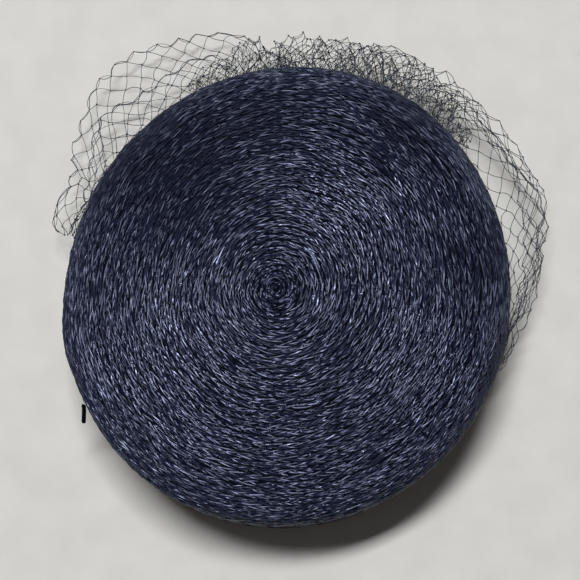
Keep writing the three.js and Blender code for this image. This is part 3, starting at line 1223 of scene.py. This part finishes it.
@dataclass
class Veil:
    """One sheet of the knotted diamond net round the front of the hat. Millimetres and degrees.

    folds holds, for its outward, downward and sideways folds, how much deeper they are where the net is
    rolled and how many cells long they are.
    """

    form: HatForm
    name: str = "net_veil"
    sections: tuple[VeilSection, ...] = VEIL_SECTIONS
    open_route: tuple[tuple[float, float], ...] = OPEN_ROUTE
    start_angle: float = 2.0
    end_angle: float = 183.0
    seam_height: float = 40.0
    drop: float = 26.0
    reach: float = 40.0
    columns: int = 82
    rows: int = 18
    column_shares: tuple[float, ...] = (0.0, 0.05, 0.34, 0.67, 1.0)
    span_shares: tuple[float, ...] = (0.0, 0.08, 0.42, 0.68, 1.0)
    shown_share: float = 0.5
    least_reach: float = 0.35
    crumple: float = 2.7
    folds: tuple[tuple[float, float], ...] = ((1.4, 7.0), (1.2, 6.0), (3.5, 8.0))
    band_hold: float = 0.55
    wall_clearance: float = 0.6
    floor_clearance: float = 0.6
    thread_length: float = 7.0
    shortest_share: float = 0.66
    settle_rounds: int = 90
    settle_pull: float = 0.24
    settle_return: float = 0.035
    border_trim: float = 0.45
    slack_share: float = 1.02
    least_slack: float = 0.05
    most_bow: float = 0.15
    bow_spread: float = 0.7
    bow_sag: float = 0.6
    border_bow: float = 0.4
    thread_radius: float = 0.14
    border_radius: float = 0.165
    thread_steps: int = 5
    thread_sides: int = 4
    thread_tones: tuple[float, float] = (0.1, 0.9)
    border_tone: float = 0.3
    knot_radius: float = 0.36
    knot_sizes: tuple[float, float] = (0.75, 1.15)
    knot_points: int = 5
    knot_sides: int = 6
    knot_rounding: float = 0.93
    knot_length: float = 1.25
    knot_height: float = 0.8
    knot_steepness: float = 0.8
    knot_tone: float = 0.4
    seed: int = 5

    def section(self, along: np.ndarray, label: str) -> np.ndarray:
        """One column of the section table, eased between its rows.

        Args:
            along: shares of the span.
            label: the column's name.

        Returns:
            The column's values there.
        """
        shares = np.array([row.along for row in self.sections])
        values = np.array([getattr(row, label) for row in self.sections])
        after = np.clip(np.searchsorted(shares, along, side="left"), 1, len(shares) - 1)
        share = eased((along - shares[after - 1]) / (shares[after] - shares[after - 1]))
        return values[after - 1] * (1 - share) + values[after] * share

    def route(self, points: tuple[tuple[float, float], ...], across: np.ndarray) -> np.ndarray:
        """A smooth line through the points of a route.

        Args:
            points: shares of reach and drop.
            across: shares of the net's width.

        Returns:
            Rows of the two shares.
        """
        table = np.array(points)
        padded = np.concatenate([2 * table[:1] - table[1:2], table, 2 * table[-1:] - table[-2:-1]])
        place = across * (len(table) - 1)
        base = np.minimum(place.astype(int), len(table) - 2)
        t = (place - base)[:, None]
        a, b, c, d = (padded[base + k] for k in range(4))
        return 0.5 * (
            2 * b + (c - a) * t + (2 * a - 5 * b + 4 * c - d) * t**2 + (3 * b - a - 3 * c + d) * t**3
        )

    def lie(self, along: np.ndarray, across: np.ndarray) -> tuple[np.ndarray, np.ndarray]:
        """How the net lies at places of the sheet, and how far it is rolled there.

        Args:
            along: shares of the span.
            across: shares of the net's width.

        Returns:
            Rows of shares of reach and drop, and amounts from 0 to 1.
        """
        openness = self.section(along, "openness")
        band = self.section(along, "band")
        gathered = self.route(BAND_ROUTE, across) * band[:, None]
        gathered = gathered + self.route(ROLLED_ROUTE, across) * (1 - band)[:, None]
        shown = 1 - self.shown_share * np.clip(self.section(along, "reach"), self.least_reach, 1.0)
        folded = across / shown * (1 - self.shown_share)
        free = 1 - self.shown_share * (1 - across) / (1 - shown)
        opened = self.route(self.open_route, np.where(across < shown, folded, free))
        shares = gathered * (1 - openness)[:, None] + opened * openness[:, None]
        return shares, (1 - openness) * (1 - self.band_hold * band)

    def knots(self) -> tuple[np.ndarray, np.ndarray]:
        """Lays out the knots before the net settles.

        Returns:
            Column and row of each knot, and its place.
        """
        column, row = np.meshgrid(np.arange(self.columns + 1), np.arange(self.rows + 1), indexing="ij")
        keep = (column + row) % 2 == 0
        cells = np.stack([column[keep], row[keep]], axis=-1)
        along = np.interp(cells[:, 0] / self.columns, self.column_shares, self.span_shares)
        across = cells[:, 1] / self.rows
        shares, rolled = self.lie(along, across)
        drop = self.section(along, "drop")
        loose = np.sin(math.pi * np.minimum(across, 0.5)) * drop
        grid = cells.astype(float)
        bends = [
            (self.crumple + deeper * rolled) * loose * ripple(grid, length, self.seed + number)
            for number, (deeper, length) in enumerate(self.folds)
        ]
        out = shares[:, 0] * self.section(along, "reach") * self.reach + bends[0]
        level = self.seam_height - shares[:, 1] * drop * self.drop + bends[1]
        angle = np.radians(self.start_angle + along * (self.end_angle - self.start_angle))
        out = np.maximum(out, self.wall_clearance)
        radius = self.form.outline(angle) - self.form.wall_inset(level) + out
        angle = angle + bends[2] / radius
        return cells, np.stack([radius * np.cos(angle), radius * np.sin(angle), level], axis=-1)

    def links(self, cells: np.ndarray) -> np.ndarray:
        """Finds the knots that a thread joins.

        Args:
            cells: column and row of each knot.

        Returns:
            Rows of two knot numbers.
        """
        number = {(int(c), int(r)): k for k, (c, r) in enumerate(cells)}
        pairs = []
        for (column, row), knot in number.items():
            for step in (-1, 1):
                other = number.get((column + 1, row + step))
                if other is not None:
                    pairs.append((knot, other))
        return np.array(pairs)

    def settle(self, places: np.ndarray, pairs: np.ndarray, held: np.ndarray) -> np.ndarray:
        """Lets the net settle until its threads have their length.

        Args:
            places: places of the knots.
            pairs: knots that a thread joins.
            held: knots that are sewn down.

        Returns:
            Settled places of the knots.
        """
        aim = places.copy()
        moved = places.copy()
        shortest = self.shortest_share * self.thread_length
        for _ in range(self.settle_rounds):
            gap = moved[pairs[:, 1]] - moved[pairs[:, 0]]
            length = np.linalg.norm(gap, axis=1, keepdims=True)
            wanted = np.clip(length, shortest, self.thread_length)
            change = self.settle_pull * gap * (1 - wanted / np.maximum(length, LEAST_LENGTH))
            np.add.at(moved, pairs[:, 0], change)
            np.add.at(moved, pairs[:, 1], -change)
            moved = moved + self.settle_return * (aim - moved)
            radius = np.linalg.norm(moved[:, :2], axis=1)
            angle = np.arctan2(moved[:, 1], moved[:, 0])
            wall = self.form.outline(angle) - self.form.wall_inset(moved[:, 2]) + self.wall_clearance
            grow = np.maximum(wall / radius, 1.0)
            moved[:, :2] *= grow[:, None]
            moved[:, 2] = np.maximum(moved[:, 2], self.floor_clearance)
            moved[held] = aim[held]
        return moved

    def draw_in(self, places: np.ndarray, pairs: np.ndarray, cells: np.ndarray) -> np.ndarray:
        """Draws the last knots in towards their neighbours, so that the free edge is less jagged.

        Args:
            places: places of the knots.
            pairs: knots that a thread joins.
            cells: column and row of each knot.

        Returns:
            New places of the knots.
        """
        total = np.zeros_like(places)
        count = np.zeros((len(places), 1))
        for near, far in ((0, 1), (1, 0)):
            np.add.at(total, pairs[:, near], places[pairs[:, far]])
            np.add.at(count, pairs[:, near], 1.0)
        last = cells[:, 1] == self.rows
        drawn = places.copy()
        drawn[last] += self.border_trim * (total[last] / count[last] - places[last])
        return drawn

    def add_thread(
        self,
        parts: MeshParts,
        start: np.ndarray,
        end: np.ndarray,
        bow: np.ndarray,
        radius: float,
        tone: float,
    ) -> None:
        """Adds one thread between two knots.

        Args:
            parts: where it goes.
            start: its first knot.
            end: its last knot.
            bow: direction in which its slack hangs.
            radius: half its thickness.
            tone: its shade, from 0 to 1.
        """
        span = end - start
        length = float(np.linalg.norm(span))
        slack = max(self.thread_length * self.slack_share - length, self.least_slack)
        ahead = unit(span)
        bow = unit(bow - ahead * float(bow @ ahead))
        depth = min(math.sqrt(3 / 8 * slack * length), self.most_bow * length)
        share = np.linspace(0.0, 1.0, self.thread_steps + 1)
        path = start + span * share[:, None] + bow * (depth * 4 * share * (1 - share))[:, None]
        tangent = unit(np.gradient(path, axis=0))
        side = unit(np.cross(tangent, bow))
        up = np.cross(side, tangent)
        half = np.full(len(share), radius)
        tube(parts, path, side, up, half, half, self.thread_sides, np.full(len(share), tone))

    def add_knot(self, parts: MeshParts, place: np.ndarray, axis: np.ndarray, size: float) -> None:
        """Adds one small knot, a rounded bead drawn out along its threads.

        Args:
            parts: where it goes.
            place: its middle.
            axis: direction of its length.
            size: half its thickness.
        """
        share = np.linspace(-1.0, 1.0, self.knot_points)
        swell = size * np.sqrt(1 - (share * self.knot_rounding) ** 2)
        path = place + axis * (share * size * self.knot_length)[:, None]
        helper = UPWARD if abs(axis[2]) < self.knot_steepness else SIDEWAYS
        side = unit(np.cross(axis, helper))
        up = np.cross(side, axis)
        ones = np.ones((self.knot_points, 1))
        tone = np.full(self.knot_points, self.knot_tone)
        tube(parts, path, side * ones, up * ones, swell, swell * self.knot_height, self.knot_sides, tone)

    def build(self) -> None:
        """Builds and dresses the net."""
        rng = np.random.default_rng(self.seed)
        cells, places = self.knots()
        pairs = self.links(cells)
        held = np.nonzero(cells[:, 1] == 0)[0]
        places = self.settle(places, pairs, held)
        places = self.draw_in(places, pairs, cells)
        parts = MeshParts()
        for first, second in pairs:
            bow = rng.normal(size=3) * self.bow_spread - UPWARD * self.bow_sag
            tone = float(rng.uniform(*self.thread_tones))
            self.add_thread(parts, places[first], places[second], bow, self.thread_radius, tone)
        border = [k for k, (_, row) in enumerate(cells) if row >= self.rows - 1]
        border.sort(key=lambda k: cells[k][0])
        for first, second in zip(border, border[1:]):
            bow = rng.normal(size=3) * self.border_bow
            self.add_thread(parts, places[first], places[second], bow, self.border_radius, self.border_tone)
        for place in places:
            axis = unit(rng.normal(size=3))
            size = self.knot_radius * float(rng.uniform(*self.knot_sizes))
            self.add_knot(parts, place, axis, size)
        place_piece(parts.piece(self.name), NET_THREAD, ("veil",))


@dataclass
class StrawTail:
    """The loose end of the braid on the side wall."""

    form: HatForm
    angle: float = 228.0
    top: float = 46.0
    height: float = 4.0
    thickness: float = 1.8
    sewn_length: float = 2.0
    free_length: float = 7.0
    splay: float = 30.0
    bend_lead: float = 2.0
    bend_length: float = 3.0
    end_length: float = 1.2
    end_blunting: float = 0.25
    least_section: float = 0.3
    clearance: float = 0.3
    tone: float = 0.25
    steps: int = 40
    sides: int = 16

    def build(self) -> None:
        """Builds and dresses the end as a flat rounded strip."""
        level = self.top - self.height / 2
        middle_out = self.clearance + self.thickness / 2
        start = math.radians(self.angle)
        radius = float(self.form.outline(np.array([start]))[0]) + middle_out
        distance = np.linspace(0.0, self.sewn_length + self.free_length - self.thickness / 2, self.steps)
        heading = start + math.pi / 2 + np.minimum(distance, self.sewn_length) / radius
        turned = np.clip((distance - self.sewn_length + self.bend_lead) / self.bend_length, 0.0, 1.0)
        heading = heading - math.radians(self.splay) * eased(turned)
        ahead = np.stack([np.cos(heading), np.sin(heading), np.zeros_like(heading)], axis=-1)
        path = np.cumsum(ahead * np.gradient(distance)[:, None], axis=0)
        path = path - path[0] + np.array([radius * math.cos(start), radius * math.sin(start), level])
        side = np.stack([np.sin(heading), -np.cos(heading), np.zeros_like(heading)], axis=-1)
        up = np.tile(UPWARD, (self.steps, 1))
        ends = np.minimum(distance, distance[-1] - distance + self.end_blunting) / self.end_length
        section = np.sqrt(1 - (1 - np.clip(ends, 0.0, 1.0)) ** 2)
        section = np.maximum(section, self.least_section)
        half_width = self.thickness / 2 * section
        half_height = self.height / 2 * section
        parts = MeshParts()
        tube(parts, path, side, up, half_width, half_height, self.sides, np.full(self.steps, self.tone))
        # The braid end takes the near-black straw of painted shade, for the shade it lies in.
        place_piece(parts.piece("braid_end"), STRAW_SHADE, ("straw_tail",))


@dataclass(frozen=True)
class AreaLamp:
    """An oblong area light that points at the hat. Degrees, metres and watts."""

    name: str
    azimuth: float
    power: float
    elevation: float = 20.0
    distance: float = 1.5
    size: tuple[float, float] = (1.2, 1.2)
    colour: tuple[float, float, float] = (1.0, 0.98, 0.95)

    def build(self) -> None:
        """Adds the light to the scene, out of the camera's sight."""
        data = bpy.data.lights.new(self.name, "AREA")
        data.shape = "RECTANGLE"
        data.size, data.size_y = self.size
        data.energy = self.power
        data.color = self.colour
        made = new_object(self.name, data)
        back = direction(self.azimuth, self.elevation)
        made.location = back * self.distance
        made.visible_camera = False
        made.rotation_mode = "QUATERNION"
        made.rotation_quaternion = (-back).to_track_quat("-Z", "Y")


LAMPS = (
    AreaLamp("lamp", 223.0, 84.5, 77.9, 3.0, (1.0, 0.32), (1.0, 1.0, 0.99)),
    AreaLamp("fill", 110.0, 0.3),
    AreaLamp("fill", 200.0, 0.35),
    AreaLamp("fill", 290.0, 0.4),
    AreaLamp("fill", 20.0, 0.2),
)


@dataclass
class Studio:
    """Floor, light and camera. Metres, degrees and pixels of the picture."""

    form: HatForm
    camera_azimuth: float = 20.0
    camera_elevation: float = 80.0
    camera_distance: float = 0.70
    nearest: float = 0.01
    farthest: float = 20.0
    metres_per_pixel: float = 0.00042
    picture_side: int = 580
    hat_shift: tuple[float, float] = (-2.0, -2.6)
    sensor: float = 36.0
    floor_half_side: float = 10.0
    room_colour: tuple[float, float, float] = (1.0, 0.95, 0.9)
    room_strength: float = 0.06

    def camera(self) -> None:
        """Makes the camera at the photograph's angle."""
        data = bpy.data.cameras.new("camera")
        made = new_object("camera", data)
        back = direction(self.camera_azimuth, self.camera_elevation)
        turn = (-back).to_track_quat("-Z", "Y")
        right = turn @ Vector((1.0, 0.0, 0.0))
        up = turn @ Vector((0.0, 1.0, 0.0))
        middle = Vector((0.0, 0.0, self.form.widest_level * MILLIMETRE))
        aim = middle - (right * self.hat_shift[0] + up * self.hat_shift[1]) * self.metres_per_pixel
        made.location = aim + back * self.camera_distance
        made.rotation_mode = "QUATERNION"
        made.rotation_quaternion = turn
        data.sensor_width = self.sensor
        view_width = self.picture_side * self.metres_per_pixel
        data.lens = self.sensor * self.camera_distance / view_width
        data.clip_start = self.nearest
        data.clip_end = self.farthest
        bpy.context.scene.camera = made

    def floor(self) -> None:
        """Makes the pale floor that the hat rests on."""
        side = self.floor_half_side
        corners = [(-side, -side, 0.0), (side, -side, 0.0), (side, side, 0.0), (-side, side, 0.0)]
        mesh = bpy.data.meshes.new("floor")
        mesh.from_pydata(corners, [], [(0, 1, 2, 3)])
        mesh.materials.append(FloorFinish().material())
        new_object("floor", mesh)

    def world(self) -> None:
        """Sets the even light of the room."""
        made = bpy.data.worlds.new("room")
        made.use_nodes = True
        background = made.node_tree.nodes["Background"]
        background.inputs["Color"].default_value = (*self.room_colour, 1.0)
        background.inputs["Strength"].default_value = self.room_strength
        bpy.context.scene.world = made

    def build(self) -> None:
        """Builds the whole studio."""
        self.camera()
        self.floor()
        self.world()
        for lamp in LAMPS:
            lamp.build()
        bpy.context.scene.view_settings.view_transform = "Standard"


def main() -> None:
    """Builds the hat piece by piece, then the studio around it."""
    logging.basicConfig(level=logging.INFO, format="%(message)s")
    form = HatForm()
    even = (0.0, 1.0)
    gather = Veil(
        form,
        "net_gather",
        GATHER_SECTIONS,
        start_angle=62.0,
        end_angle=134.0,
        columns=74,
        rows=17,
        column_shares=even,
        span_shares=even,
        thread_radius=0.12,
        seed=17,
    )
    fold = Veil(
        form,
        "net_fold",
        FOLD_SECTIONS,
        SKIRT_ROUTE,
        start_angle=122.0,
        end_angle=176.0,
        columns=20,
        rows=10,
        column_shares=even,
        span_shares=even,
        crumple=3.4,
        border_radius=0.2,
        seed=29,
    )
    for part in (Winding(form), StrawCore(form), Veil(form), gather, fold, StrawTail(form), Studio(form)):
        part.build()
        log.info("built %s", type(part).__name__)


if __name__ == "__main__":
    main()
